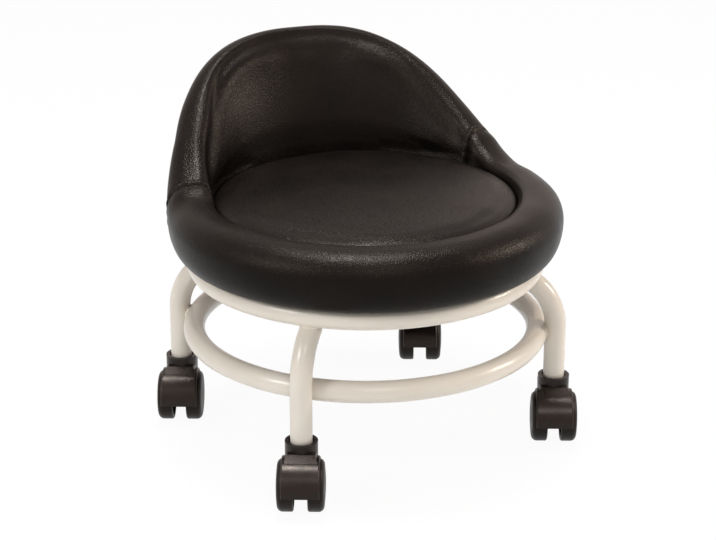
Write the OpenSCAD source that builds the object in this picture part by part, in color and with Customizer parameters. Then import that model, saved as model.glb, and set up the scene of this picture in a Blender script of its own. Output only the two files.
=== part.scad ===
// Low rolling stool: an upholstered bucket seat on a frame of bent steel tube, with four swivelling
// twin-wheel casters. Millimetres, Z up. The front faces -Y, and the origin is on the floor under the
// seat's axis. Left and right are as seen from the front.

/* [Frame tube] */
// Outer diameter of the steel tube
tube_d = 19; // [18:0.5:21]
// Wall of the steel tube
tube_wall = 1.5; // [1:0.1:2]

/* [Frame] */
// Height of the frame's top, which the seat rests on
frame_top_z = 171; // [166:0.5:210]
// Radius of the upper ring's centreline
upper_ring_r = 150; // [142:0.5:156]
// Height of the lower ring's centreline
lower_ring_z = 97.5; // [86:0.5:108]
// Radius of the circle that the legs stand on
leg_circle_r = 171; // [166:0.5:186]
// Bend radius of a leg's centreline
leg_bend_r = 50; // [42:1:56]
// How far inside the upper ring's centreline a leg's centreline ends
leg_end_in = 6; // [3:0.5:8]
// How far below the upper ring's centreline a leg's centreline ends
leg_end_under = 13; // [11.5:0.5:15]
// Depth of the notch in a leg that the lower ring lies in
ring_nest = 2.5; // [1.8:0.1:3]
// Angle between the two front legs, seen from above
front_pair_angle = 100.6; // [90:0.2:104]
// Turn of the frame under the seat
frame_turn = 9.5; // [0:0.5:12]
// Height of the end of a leg's tube above the floor
foot_z = 54.5; // [53.5:0.5:60]
// Radius of the weld between a leg and the lower ring
weld_r = 8.5; // [8:0.5:9]
// Thickness of a seat lug
lug_t = 3; // [2:0.5:4]
// Width of a seat lug
lug_w = 24; // [20:1:30]
// Distance from the upper ring's centreline to a lug's hole
lug_reach = 20; // [18:0.5:26]

/* [Seat board] */
// How far the plywood base board reaches out past the upper ring's centreline
board_reach = 7; // [4:0.5:9]
// Thickness of the base board
board_t = 12; // [10:0.5:15]
// Thickness of the dust cover, and of the leather that is wrapped under the board
cover_t = 1; // [0.8:0.1:1.6]
// Width of the leather that is wrapped under the board
wrap_w = 10; // [6:1:16]

/* [Cushion] */
// Distance from the base board's edge in to the cushion's side
cushion_inset = 23; // [20:0.5:27]
// Height of the cushion's rounded edge above the frame
cushion_h = 51; // [44:0.5:56]
// Rise of the cushion's crown from its edge to its centre
cushion_crown = 4; // [1:0.5:10]
// Rounding of the cushion's upper edge
cushion_round = 7; // [4:0.5:10]
// How far the cushion's side draws in at its foot
cushion_draw = 2; // [0:0.5:4]

/* [Seat wall] */
// Width of the front roll from its inner wall to its crest
roll_inner_w = 16.5; // [14:0.1:18]
// Width of the front roll from its crest to its outermost bulge
roll_outer_w = 24.2; // [20:0.1:27]
// Drop of the rounding at the front roll's inner edge
roll_inner_drop = 8; // [6:0.5:12]
// Height of the front roll's crest above the frame
roll_h = 53.1; // [49:0.1:62]
// Height of the outermost bulge above the frame
bulge_h = 30.4; // [26:0.1:36]
// Thickness of the upholstery outside the board's edge
board_cover = 3; // [2.5:0.1:6]
// Height of the backrest's top above the frame
back_h = 160.3; // [140:0.1:190]
// Half of the backrest's thickness at its crest
back_half_t = 14.6; // [13:0.1:17]
// How far the crest leans out for each millimetre that it rises
back_lean = 0.235; // [0.16:0.005:0.26]
// Angle from the back at which the rim starts to rise
rise_angle = 83; // [78:0.5:88]
// Steepness of the rim's rise
rise_power = 1.38; // [1.2:0.02:1.6]
// Swell of the padding of the inner back panel
panel_swell = 5; // [2:0.5:6]
// Angle from the back to each seam
seam_angle = 68.5; // [60:0.5:72]
// How far both seams are set round to the left of even
seam_skew = 3.5; // [0:0.5:5]
// Depth of the soft valley between the rim and the inner back panel, high up
valley_depth = 2; // [1:0.1:3]

/* [Backrest former] */
// Thickness of the bent plywood former
former_t = 5; // [4:0.5:5]
// Depth of foam over the former's top
former_cover = 14; // [12:0.5:20]
// Radius of the arched top of the former
former_arch_r = 150; // [146:1:156]
// Angle left free between the former's end and the seam
former_end_angle = 6; // [5:0.5:14]

/* [Casters] */
// Diameter of a wheel
wheel_d = 45; // [40:0.5:46]
// Width of a wheel with its domed face
wheel_w = 14.9; // [13:0.1:17]
// Gap between the two wheels of a caster
wheel_gap = 12.2; // [10:0.2:14]
// Rounding between a wheel's tread and its face
wheel_round = 5; // [3:0.5:6]
// Distance that the axle trails behind the swivel
trail = 15; // [13:0.5:17]
// Direction that all four casters trail in, counted from +X
heading = 246.5; // [0:0.5:360]
// Diameter of the axle
axle_d = 6; // [5:0.5:6.5]
// Gap between the hood and the wheels' treads
hood_gap = 0.9; // [0.8:0.1:1.4]
// Wall of the hood
hood_wall = 1.6; // [1.4:0.1:2.2]
// Width of the hood, which leaves the wheels' rounded edges in sight
hood_w = 32.6; // [30:0.2:36]
// Rounding of the hood's side edges
hood_round = 1.5; // [1:0.5:3]
// Height of the hood's lower edge above the floor
hood_low_z = 21; // [18:0.5:23]
// Height of the hood's top above the floor
hood_top_z = 50; // [49:0.5:50.5]
// Height of the collar's rim above the end of the leg
collar_lap = 2.5; // [1:0.5:6]
// Wall of the collar
collar_wall = 3.3; // [2.6:0.05:3.5]
// Clear gap between the collar and the leg
collar_gap = 1.25; // [0.8:0.05:1.6]
// Diameter of the stem
stem_d = 10; // [8:0.5:11]
// Length of the stem above the end of the leg
stem_len = 24; // [20:1:30]

/* [Hidden] */
$fn = 96;
eps = 0.01;
through = 400;

// Clearances
cushion_gap = 0.5;
board_gap = 0.3;
former_gap = 0.3;
seam_gap = 0.4;
fit_gap = 0.05;
seat_gap = 0.02;
weld_clear = 0.25;
thrust_gap = 0.2;
wheel_side_gap = 0.3;

// Room for the straight sides of the upholstery's facets, round the board and its dust cover
facet_slack = 0.5;

// Frame
tube_r = tube_d / 2;
bore_r = tube_r - tube_wall;
ring_z = frame_top_z - tube_r;
lower_ring_r = leg_circle_r - tube_d + ring_nest;
bend_centre_r = leg_circle_r - leg_bend_r;
bend_sweep = acos((upper_ring_r - leg_end_in - bend_centre_r) / leg_bend_r);
bend_z = ring_z - leg_end_under - leg_bend_r * sin(bend_sweep);
end_wall_sweep = tube_wall / leg_bend_r * 180 / PI;
notch_reach = sqrt(2 * (tube_r * tube_r - pow((tube_d - ring_nest) / 2, 2)));
weld_in_r = notch_reach + weld_clear;
CORNERS = ["front_left", "front_right", "rear_right", "rear_left"];
SIDES = ["left", "right"];
front_heading = 270 + frame_turn;
half_pair = front_pair_angle / 2;
leg_angles = [front_heading - half_pair, front_heading + half_pair,
              front_heading + 180 - half_pair, front_heading + 180 + half_pair];

// Seat fasteners: M6 screws through the lugs into threaded inserts in the board
m6_r = 3;
m6_clear_r = 3.3;
seat_screw_len = 16;
seat_screw_head_r = 5;
seat_screw_head_h = 4;
hex_socket_r = 2.3;
hex_socket_depth = 2.2;
washer_r = 6;
washer_t = 1.6;
nut_flange_r = 9.5;
nut_flange_t = 1.5;
nut_barrel_r = 4;
nut_barrel_len = 9;
cover_hole_r = nut_barrel_r + 1;
lug_angles = [for (i = [0:3]) frame_turn + 90 * i];
lug_hole_ring_r = upper_ring_r - lug_reach;
lug_root_r = upper_ring_r - 4;
lug_bottom_z = frame_top_z - lug_t;

// Seat board
board_r = upper_ring_r + board_reach;
board_z0 = frame_top_z + cover_t;
board_z1 = board_z0 + board_t;
wrap_r = board_r - wrap_w;
dust_cover_r = wrap_r - seam_gap - facet_slack;

// Cushion
cushion_r = board_r - cushion_inset;
cushion_z1 = frame_top_z + cushion_h;
cushion_waist_z = (board_z1 + cushion_z1 - cushion_round) / 2;

// Seat wall
wall_r = cushion_r + cushion_gap;
crest_r = wall_r + roll_inner_w;
bulge_r = crest_r + roll_outer_w;
bottom_r = board_r + board_cover;
bulge_z = frame_top_z + bulge_h;
roll_z = frame_top_z + roll_h;
back_rise = back_h - roll_h;
back_crest_r = crest_r + back_lean * back_rise;
back_z = frame_top_z + back_h;
wall_knee_z = cushion_z1 - cushion_round;
swell_start = 10;
thin_rate = 2.4;
edge_power = 2.6;
crest_turn = 56;
roll_end_turn = 90;
back_end_turn = 97;
seam_pull = 1.4;
seam_run = 2.6;
wall_steps = 5;
crest_steps = 5;
outer_steps = 4;
foot_steps = 5;
back_rings = 30;
shoulder_rings = 5;
roll_rings = 22;

// Valley: how far round the crest it lies, in degrees from the top, high up and at the sides
valley_top_turn = 52;
valley_side_turn = 118;
valley_turn_from = 30;
valley_turn_to = 52;
valley_half_w = 24;
valley_lip_w = 40;
valley_side_share = 0.4;
wall_per_degree = 0.25;

// Backrest former
former_half_angle = seam_angle - seam_skew - former_end_angle;
former_z0 = board_z0 + 1.5;
former_z1 = back_z - former_cover;
former_arch_z = former_z1 - former_arch_r;
former_knee_z = board_z1 + 1.5;
former_foot_r = board_r + board_gap;
former_top_r = back_crest_r - former_t / 2 - 3;
former_screw_r = 1.75;
former_screw_len = 22;
former_screw_head_r = 3.8;
former_screw_head_h = 2;
former_screw_z = (former_z0 + board_z1) / 2;
former_screw_turns = [for (i = [0:3]) former_half_angle * (0.5 * i - 0.75)];

// Caster
wheel_r = wheel_d / 2;
wheel_in = wheel_gap / 2;
wheel_out = wheel_in + wheel_w;
web_half = wheel_in - wheel_side_gap;
hood_in_r = wheel_r + hood_gap;
hood_r = hood_in_r + hood_wall;
hood_half_w = hood_w / 2;
collar_in_r = tube_r + collar_gap;
collar_r = collar_in_r + collar_wall;
collar_z = foot_z + collar_lap;
neck_ledge = 0.6;
neck_half_w = collar_r - neck_ledge;
neck_round = 3;
socket_flange_t = 1.5;
stem_shoulder_t = 1.6;
stem_shoulder_r = stem_d / 2 + 3;
stem_shoulder_z = foot_z - socket_flange_t - thrust_gap;
cup_z = stem_shoulder_z - stem_shoulder_t;
stem_z0 = cup_z - 12;
stem_z1 = foot_z + stem_len;
stem_tip_h = 2;
grip_z = stem_z1 - 6;
grip_h = 3;
grip_t = 0.4;
grip_depth = 0.7;
socket_wall_end = 3;
axle_boss_r = axle_d / 2 + 3.5;
web_plate = 1.9;
hub_r = axle_d / 2 + 3.5;
hub_depth = 10.6;
rim_t = 3.5;
face_t = 2.5;
snap_x = wheel_in + 6.7;
snap_w = 1.2;
snap_depth = 0.4;

// Shared helpers

function mix(a, b, t) = a + (b - a) * t;
function smooth(t) = t * t * (3 - 2 * t);
function clamp01(t) = max(0, min(1, t));
function arc(centre, r, from, to, steps) =
    [for (i = [0:steps]) let (a = mix(from, to, i / steps)) centre + r * [cos(a), sin(a)]];

module ring_tube(ring_r, r) {
    rotate_extrude() translate([ring_r, 0]) circle(r);
}

// A solid bar along a leg's centreline, which the tube, its bore and its neighbours' cuts all use
module leg_bar(r, foot, sweep) {
    translate([leg_circle_r, 0, foot]) cylinder(r = r, h = bend_z - foot);
    translate([bend_centre_r, 0, bend_z])
        rotate([90, 0, 0])
            rotate_extrude(angle = sweep) translate([leg_bend_r, 0]) circle(r);
}

// Frame

module upper_ring() {
    color("linen")
        translate([0, 0, ring_z])
            rotate_extrude() translate([upper_ring_r, 0]) difference() {
                circle(tube_r);
                circle(bore_r);
            }
}

module lower_ring() {
    color("linen")
        translate([0, 0, lower_ring_z])
            rotate_extrude() translate([lower_ring_r, 0]) difference() {
                circle(tube_r);
                circle(bore_r);
            }
}

// A leg is bent in under the upper ring, which lies in a notch at its closed end
module leg(i) {
    color("linen")
        difference() {
            rotate([0, 0, leg_angles[i]]) difference() {
                leg_bar(tube_r, foot_z, bend_sweep);
                leg_bar(bore_r, foot_z - 1, bend_sweep - end_wall_sweep);
            }
            translate([0, 0, ring_z]) ring_tube(upper_ring_r, tube_r);
            translate([0, 0, lower_ring_z]) ring_tube(lower_ring_r, tube_r);
        }
}

// One weld runs round the notch where the lower ring lies in a leg, and fills the gap between the tubes
module ring_welds() {
    color("linen")
        for (a = leg_angles)
            rotate([0, 0, a]) translate([0, 0, lower_ring_z]) difference() {
                translate([lower_ring_r + tube_r, 0, 0]) rotate([0, 90, 0]) difference() {
                    cylinder(r = weld_r, h = 2 * weld_r, center = true);
                    cylinder(r = weld_in_r, h = tube_d, center = true);
                }
                translate([leg_circle_r, 0, 0]) cylinder(r = tube_r + seat_gap, h = tube_d, center = true);
                ring_tube(lower_ring_r, tube_r + seat_gap, $fn = 288);
            }
}

module seat_lugs() {
    color("linen")
        difference() {
            for (a = lug_angles) rotate([0, 0, a]) difference() {
                translate([0, 0, lug_bottom_z]) union() {
                    translate([lug_hole_ring_r, 0, 0]) cylinder(r = lug_w / 2, h = lug_t);
                    translate([lug_hole_ring_r, -lug_w / 2, 0])
                        cube([lug_root_r - lug_hole_ring_r, lug_w, lug_t]);
                }
                translate([lug_hole_ring_r, 0, lug_bottom_z - 1])
                    cylinder(r = m6_clear_r, h = lug_t + 2);
            }
            translate([0, 0, ring_z]) ring_tube(upper_ring_r, tube_r);
        }
}

// Nylon insert in a leg's foot, whose bore the stem turns in
module stem_socket(i) {
    color("dimgray")
        rotate([0, 0, leg_angles[i]]) translate([leg_circle_r, 0, 0]) difference() {
            union() {
                translate([0, 0, foot_z - socket_flange_t])
                    cylinder(r = tube_r, h = socket_flange_t);
                translate([0, 0, foot_z - eps])
                    cylinder(r = bore_r - seat_gap, h = stem_len + socket_wall_end + eps);
            }
            translate([0, 0, foot_z - socket_flange_t - 1])
                cylinder(r = stem_d / 2 + fit_gap, h = stem_len + socket_flange_t + 1.5);
            translate([0, 0, grip_z - thrust_gap])
                cylinder(r = stem_d / 2 + grip_t + 2 * fit_gap, h = grip_h + 2 * thrust_gap);
        }
}

// Seat board and fasteners

module at_lugs() {
    for (a = lug_angles) rotate([0, 0, a]) translate([lug_hole_ring_r, 0, 0]) children();
}

module at_former_screws() {
    for (a = former_screw_turns)
        rotate([0, 0, 90 + a]) translate([former_foot_r + former_t, 0, former_screw_z])
            rotate([0, -90, 0]) children();
}

module base_board() {
    color("burlywood")
        difference() {
            translate([0, 0, board_z0]) cylinder(r = board_r, h = board_t);
            at_lugs() {
                translate([0, 0, board_z0 - 1]) cylinder(r = nut_barrel_r + fit_gap, h = board_t + 2);
                translate([0, 0, board_z1 - nut_flange_t]) cylinder(r = nut_flange_r + fit_gap, h = board_t);
            }
            at_former_screws() cylinder(r = former_screw_r + seat_gap, h = former_screw_len + 0.5);
        }
}

module dust_cover() {
    color("black")
        difference() {
            translate([0, 0, frame_top_z]) cylinder(r = dust_cover_r, h = cover_t);
            at_lugs() translate([0, 0, frame_top_z - 1]) cylinder(r = cover_hole_r, h = cover_t + 2);
        }
}

module board_nuts() {
    color("silver")
        at_lugs() difference() {
            union() {
                translate([0, 0, board_z1 - nut_flange_t]) cylinder(r = nut_flange_r, h = nut_flange_t);
                translate([0, 0, board_z1 - nut_barrel_len]) cylinder(r = nut_barrel_r, h = nut_barrel_len);
            }
            translate([0, 0, board_z0]) cylinder(r = m6_r + fit_gap, h = board_t + 1);
        }
}

module seat_screws() {
    color("silver")
        at_lugs() translate([0, 0, lug_bottom_z - washer_t]) difference() {
            union() {
                translate([0, 0, -seat_screw_head_h]) cylinder(r = seat_screw_head_r, h = seat_screw_head_h);
                translate([0, 0, -eps]) cylinder(r = m6_r, h = seat_screw_len + eps);
            }
            translate([0, 0, -seat_screw_head_h - 1])
                cylinder(r = hex_socket_r, h = hex_socket_depth + 1, $fn = 6);
        }
}

module seat_washers() {
    color("silver")
        at_lugs() translate([0, 0, lug_bottom_z - washer_t]) difference() {
            cylinder(r = washer_r, h = washer_t);
            translate([0, 0, -1]) cylinder(r = m6_clear_r, h = washer_t + 2);
        }
}

// Bent plywood inside the backrest: its foot hugs the board's edge, and its top is an arch
module former_shell(grow) {
    intersection() {
        rotate([0, 0, 90 - former_half_angle - grow])
            rotate_extrude(angle = 2 * (former_half_angle + grow))
                polygon([[former_foot_r - grow, former_z0 - grow],
                         [former_foot_r + former_t + grow, former_z0 - grow],
                         [former_foot_r + former_t + grow, former_knee_z],
                         [former_top_r + former_t + grow, former_z1 + grow],
                         [former_top_r - grow, former_z1 + grow],
                         [former_foot_r - grow, former_knee_z]]);
        translate([0, 0, former_arch_z])
            rotate([-90, 0, 0]) cylinder(r = former_arch_r + grow, h = through);
    }
}

module backrest_former() {
    color("burlywood")
        difference() {
            former_shell(0);
            at_former_screws() translate([0, 0, -1])
                cylinder(r = former_screw_r + seat_gap, h = former_t + 2);
        }
}

module former_screws() {
    color("silver")
        at_former_screws() {
            translate([0, 0, -former_screw_head_h])
                cylinder(r = former_screw_head_r, h = former_screw_head_h);
            translate([0, 0, -eps]) cylinder(r = former_screw_r, h = former_screw_len + eps);
        }
}

// Cushion

module seat_cushion() {
    crown_steps = 8;
    edge_r = cushion_r - cushion_round;
    color([0.16, 0.14, 0.13])
        rotate_extrude()
            polygon(concat(
                [[0, board_z1], [cushion_r - cushion_draw, board_z1], [cushion_r, cushion_waist_z]],
                arc([edge_r, cushion_z1 - cushion_round], cushion_round, 0, 90, 6),
                [for (i = [1:crown_steps]) let (t = 1 - i / crown_steps)
                    [edge_r * t, cushion_z1 + cushion_crown * (1 - t * t)]]
            ));
}

// Seat wall: one section, turned round the seat's axis, whose crest rises towards the back

// Share of the full rise at an angle from the back
function rise(turn) = (1 + cos(180 * pow(clamp01(abs(turn) / rise_angle), rise_power))) / 2;

// Share of the change from the broad front roll to the slim backrest
function slim(turn) = clamp01(rise(turn) * thin_rate);

// A point on the inner side: turn_in counts degrees from the crest's top, and past 90 it goes down the wall
function inner_point(turn, turn_in, pull) =
    let (up = rise(turn),
         z = roll_z + back_rise * up - pull,
         r = crest_r + back_lean * back_rise * up,
         w = mix(roll_inner_w, back_half_t, slim(turn)) - pull,
         d = mix(roll_inner_drop, back_half_t, slim(turn)) - pull / 2,
         power = mix(edge_power, 2, slim(turn)),
         a = min(turn_in, 90),
         down = max(turn_in - 90, 0) * wall_per_degree)
    [r - w * pow(sin(a), 2 / power) - down * back_lean * slim(turn),
     z - d * (1 - pow(cos(a), 2 / power)) - down];

// Share of the way from the top of the backrest to its sides
function sideways(turn) =
    smooth(clamp01((abs(turn) - valley_turn_from) / (valley_turn_to - valley_turn_from)));

// Wall from the seat board up to just below the valley
function wall_points(turn, top, pull) =
    let (knee = [wall_r + pull, min(wall_knee_z, top[1] - 4)])
    concat([[wall_r + pull, board_z1]],
           [for (i = [0:wall_steps - 1])
               let (t = i / wall_steps,
                    z = mix(knee[1], top[1], t),
                    above = clamp01((z - cushion_z1) / swell_start),
                    swell = panel_swell * pow(sin(180 * t), 2) * slim(turn) * above)
               [mix(knee[0], top[0], t) - swell, z]]);

// Outer side: over the crest, down to the bulge and round to the bottom edge. The front roll is one
// quarter of an ellipse down to the bulge, and the backrest has a straight side under its crest.
function outer_points(turn, pull) =
    let (up = rise(turn),
         centre = [crest_r + back_lean * back_rise * up, roll_z + back_rise * up - pull],
         w = mix(roll_outer_w, back_half_t, slim(turn)) - pull,
         d = mix(roll_h - bulge_h, back_half_t, slim(turn)),
         over = mix(crest_turn, back_end_turn, slim(turn)),
         end = mix(roll_end_turn, back_end_turn, slim(turn)),
         on_arc = function(a) centre + [w * sin(a), -d * (1 - cos(a))],
         bulge = [bulge_r - pull, bulge_z],
         arc_len = (end - over) * PI / 180 * (w + d) / 2,
         all_len = arc_len + norm(on_arc(end) - bulge))
    concat([for (i = [1:crest_steps]) on_arc(over * i / crest_steps)],
           [for (i = [1:outer_steps])
               let (s = all_len * i / outer_steps)
               s < arc_len ? on_arc(mix(over, end, s / arc_len))
                           : mix(on_arc(end), bulge, (s - arc_len) / max(all_len - arc_len, eps))],
           [for (i = [1:foot_steps]) let (a = 90 * i / foot_steps)
               [mix(bulge[0], bottom_r, 1 - cos(a)), mix(bulge_z, frame_top_z, sin(a))]]);

// The whole section, closed under the board: radius and height
function section(turn, valley, pull) =
    let (middle = mix(valley_top_turn, valley_side_turn, sideways(turn)),
         below = inner_point(turn, middle + valley_lip_w, pull),
         lip_in = inner_point(turn, middle + valley_half_w, pull),
         lip_out = inner_point(turn, middle - valley_half_w, pull),
         across = lip_in - lip_out,
         inwards = [-across[1], across[0]] / norm(across),
         depth = valley * mix(1, valley_side_share, sideways(turn)),
         notch_r = board_r + board_gap + facet_slack)
    concat(wall_points(turn, below, pull),
           [below],
           [for (k = [1:-0.5:-1]) inner_point(turn, middle + k * valley_half_w, pull)
                                  + inwards * depth * (1 + cos(180 * k)) / 2],
           [for (i = [1:crest_steps])
               inner_point(turn, (middle - valley_half_w) * (1 - i / crest_steps), pull)],
           outer_points(turn, pull),
           [[wrap_r, frame_top_z], [wrap_r, board_z0], [notch_r, board_z0], [notch_r, board_z1]]);

// Body swept through a list of rings, each given as [angle from the back, draw-in at a seam]
module swept_wall(rings, valley) {
    sections = [for (k = rings) section(k[0], valley, k[1])];
    n = len(sections[0]);
    points = [for (k = [0:len(rings) - 1]) for (p = sections[k])
        [p[0] * cos(90 + rings[k][0]), p[0] * sin(90 + rings[k][0]), p[1]]];
    sides = [for (k = [0:len(rings) - 2]) for (j = [0:n - 1])
        let (a = k * n + j, b = k * n + (j + 1) % n)
        each [[a, b, b + n], [a, b + n, a + n]]];
    first = [[for (j = [0:n - 1]) n - 1 - j]];
    last = [[for (j = [0:n - 1]) (len(rings) - 1) * n + j]];
    polyhedron(points, concat(sides, first, last), convexity = 10);
}

module backrest_pad() {
    gap = seam_gap / bulge_r * 90 / PI;
    left = seam_angle + seam_skew - gap;
    right = seam_skew - seam_angle + gap;
    rings = concat([[right, seam_pull]],
                   [for (i = [0:back_rings]) [mix(right + seam_run, left - seam_run, i / back_rings), 0]],
                   [[left, seam_pull]]);
    color([0.16, 0.14, 0.13])
        difference() {
            swept_wall(rings, valley_depth);
            former_shell(former_gap);
            at_former_screws() translate([0, 0, -former_screw_head_h - former_gap])
                cylinder(r = former_screw_head_r + former_gap, h = former_t);
        }
}

module front_bolster() {
    gap = seam_gap / bulge_r * 90 / PI;
    left = seam_angle + seam_skew + gap;
    right = 360 - seam_angle + seam_skew - gap;
    rings = concat([[left, seam_pull]],
                   [for (i = [0:shoulder_rings - 1]) [mix(left + seam_run, rise_angle, i / shoulder_rings), 0]],
                   [for (i = [0:roll_rings]) [mix(rise_angle, 360 - rise_angle, i / roll_rings), 0]],
                   [for (i = [1:shoulder_rings])
                       [mix(360 - rise_angle, right - seam_run, i / shoulder_rings), 0]],
                   [[right, seam_pull]]);
    color([0.16, 0.14, 0.13]) swept_wall([for (k = rings) [k[0] > 180 ? k[0] - 360 : k[0], k[1]]], 0);
}

// Casters: each is drawn with its swivel on the Z axis and its axle in front of it, along X

module at_caster(i) {
    rotate([0, 0, leg_angles[i]]) translate([leg_circle_r, 0, 0])
        rotate([0, 0, heading - 90 - leg_angles[i]]) children();
}

module on_axle() {
    translate([0, trail, wheel_r]) rotate([0, 90, 0]) children();
}

// Rounded drum over the wheels
module hood_drum() {
    corner = [hood_r - hood_round, hood_half_w - hood_round];
    on_axle() rotate_extrude()
        polygon(concat([[0, -hood_half_w]],
                       arc([corner[0], -corner[1]], hood_round, -90, 0, 6),
                       arc(corner, hood_round, 0, 90, 6),
                       [[0, hood_half_w]]));
}

// Angle on the drum at which a straight flank from a point of the neck touches it
function touch_angle(p, side) =
    let (v = p - [trail, wheel_r])
    atan2(v[1], v[0]) + side * acos(min(1, hood_r / norm(v)));

// Neck between the collar and the drum: its side view, cut by its front view. It is a little longer and
// narrower than the collar is wide, so its faces cross the collar and never just graze it.
module hood_neck() {
    inside = hood_r - 0.1;
    front = [collar_r + neck_ledge, hood_top_z];
    back = [-collar_r - neck_ledge, hood_top_z];
    front_touch = touch_angle(front, -1);
    back_touch = touch_angle(back, 1);
    centre = [trail, wheel_r];
    intersection() {
        rotate([90, 0, 90]) linear_extrude(height = 2 * hood_half_w, center = true)
            polygon([back, front,
                     centre + inside * [cos(front_touch), sin(front_touch)],
                     centre,
                     centre + inside * [cos(back_touch), sin(back_touch)]]);
        rotate([90, 0, 0]) linear_extrude(height = 4 * hood_r, center = true)
            polygon(concat([[-neck_half_w, 0], [neck_half_w, 0]],
                           arc([neck_half_w - neck_round, hood_top_z - neck_round], neck_round, 0, 90, 6),
                           arc([neck_round - neck_half_w, hood_top_z - neck_round], neck_round, 90, 180, 6)));
    }
}

module wheel_space(side) {
    on_axle() translate([0, 0, side > 0 ? web_half : -through / 2 - web_half])
        cylinder(r = hood_in_r, h = through / 2);
}

module caster_housing(i) {
    pocket_half = web_half - web_plate;
    color([0.15, 0.13, 0.13])
        at_caster(i) difference() {
            union() {
                difference() {
                    union() {
                        hood_drum();
                        hood_neck();
                        translate([0, 0, wheel_r]) cylinder(r = collar_r, h = collar_z - wheel_r);
                    }
                    wheel_space(1);
                    wheel_space(-1);
                    translate([0, trail, hood_low_z - hood_r])
                        cube([through, through, 2 * hood_r], center = true);
                    on_axle() cylinder(r = hood_in_r - 0.5, h = 2 * pocket_half, center = true);
                }
                on_axle() cylinder(r = axle_boss_r, h = 2 * web_half, center = true);
            }
            on_axle() cylinder(r = axle_d / 2 + seat_gap, h = through, center = true);
            translate([0, 0, cup_z]) cylinder(r = collar_in_r, h = through);
            translate([0, 0, stem_z0]) cylinder(r = stem_d / 2 + seat_gap, h = through);
        }
}

module caster_stem(i) {
    color("silver")
        at_caster(i) difference() {
            union() {
                translate([0, 0, stem_z0]) cylinder(r = stem_d / 2, h = stem_z1 - stem_tip_h - stem_z0);
                translate([0, 0, stem_z1 - stem_tip_h])
                    cylinder(r1 = stem_d / 2, r2 = stem_d / 2 - 1.2, h = stem_tip_h);
                translate([0, 0, cup_z]) cylinder(r = stem_shoulder_r, h = stem_shoulder_t);
            }
            translate([0, 0, grip_z]) difference() {
                cylinder(r = stem_d, h = grip_h);
                translate([0, 0, -1]) cylinder(r = stem_d / 2 - grip_depth, h = grip_h + 2);
            }
        }
}

module grip_ring(i) {
    ring_h = grip_h - 2 * fit_gap;
    color("gray")
        at_caster(i) translate([0, 0, grip_z + fit_gap]) difference() {
            cylinder(r = stem_d / 2 + grip_t, h = ring_h);
            translate([0, 0, -1]) cylinder(r = stem_d / 2 - grip_depth + seat_gap, h = ring_h + 2);
            translate([0, -0.8, -1]) cube([stem_d, 1.6, ring_h + 2]);
        }
}

module axle(i) {
    half = wheel_in + hub_depth - wheel_side_gap;
    color("silver")
        at_caster(i) on_axle() difference() {
            cylinder(r = axle_d / 2, h = 2 * half, center = true);
            for (s = [-1, 1]) translate([0, 0, s * snap_x]) difference() {
                cylinder(r = axle_d, h = snap_w, center = true);
                cylinder(r = axle_d / 2 - snap_depth, h = snap_w + 1, center = true);
            }
        }
}

// Outline of a wheel: radius, then distance from the caster's middle. The face is a shallow dome that
// runs smoothly into the rounded edge of the tread.
function wheel_outline() =
    let (edge = [wheel_r - wheel_round, wheel_out - wheel_round - 1],
         lift = wheel_out - edge[1],
         dome = (edge[0] * edge[0] + lift * lift - wheel_round * wheel_round) / (2 * (lift - wheel_round)),
         lean = asin(edge[0] / (dome - wheel_round)))
    concat([[0, wheel_in], [wheel_r - 1, wheel_in], [wheel_r, wheel_in + 1]],
           arc(edge, wheel_round, 0, 90 - lean, 6),
           arc([0, wheel_out - dome], dome, 90 - lean, 90, 5));

module wheel(i, side) {
    recess_end = wheel_out - face_t - 1;
    lip_half = snap_w / 2 - 3 * fit_gap;
    color([0.12, 0.11, 0.11])
        at_caster(i) translate([0, trail, wheel_r]) rotate([0, 90 * side, 0]) difference() {
            rotate_extrude() polygon(wheel_outline());
            translate([0, 0, wheel_in - 1]) difference() {
                cylinder(r = wheel_r - rim_t, h = recess_end - wheel_in + 1);
                translate([0, 0, -1]) cylinder(r = hub_r, h = through);
            }
            translate([0, 0, wheel_in - 1]) difference() {
                cylinder(r = axle_d / 2 + fit_gap, h = hub_depth + 1);
                translate([0, 0, snap_x - lip_half - wheel_in + 1]) difference() {
                    cylinder(r = axle_d, h = 2 * lip_half);
                    translate([0, 0, -1])
                        cylinder(r = axle_d / 2 - snap_depth + fit_gap, h = 2 * lip_half + 2);
                }
            }
        }
}

upper_ring();
lower_ring();
ring_welds();
seat_lugs();
base_board();
dust_cover();
board_nuts();
seat_screws();
seat_washers();
backrest_former();
former_screws();
seat_cushion();
front_bolster();
backrest_pad();
for (i = [0:3]) {
    leg(i);
    stem_socket(i);
    caster_housing(i);
    caster_stem(i);
    grip_ring(i);
    axle(i);
    wheel(i, -1);
    wheel(i, 1);
}
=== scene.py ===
# %% [markdown]
# # A low rolling stool
#
# This lesson dresses a stool: a round leather seat with a wrap-round back, on a frame of bent steel
# tube with two rings, four legs and four twin-wheel casters. The hard parts were made exactly in
# another program and come in as a fixed frame. Blender adds what that program does badly: soft
# leather, sewn seams, welds, staples and the finish of every surface. Every size is in metres.

import math

import bmesh
import bpy
import numpy as np
from mathutils import Matrix, Vector, kdtree, noise


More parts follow.
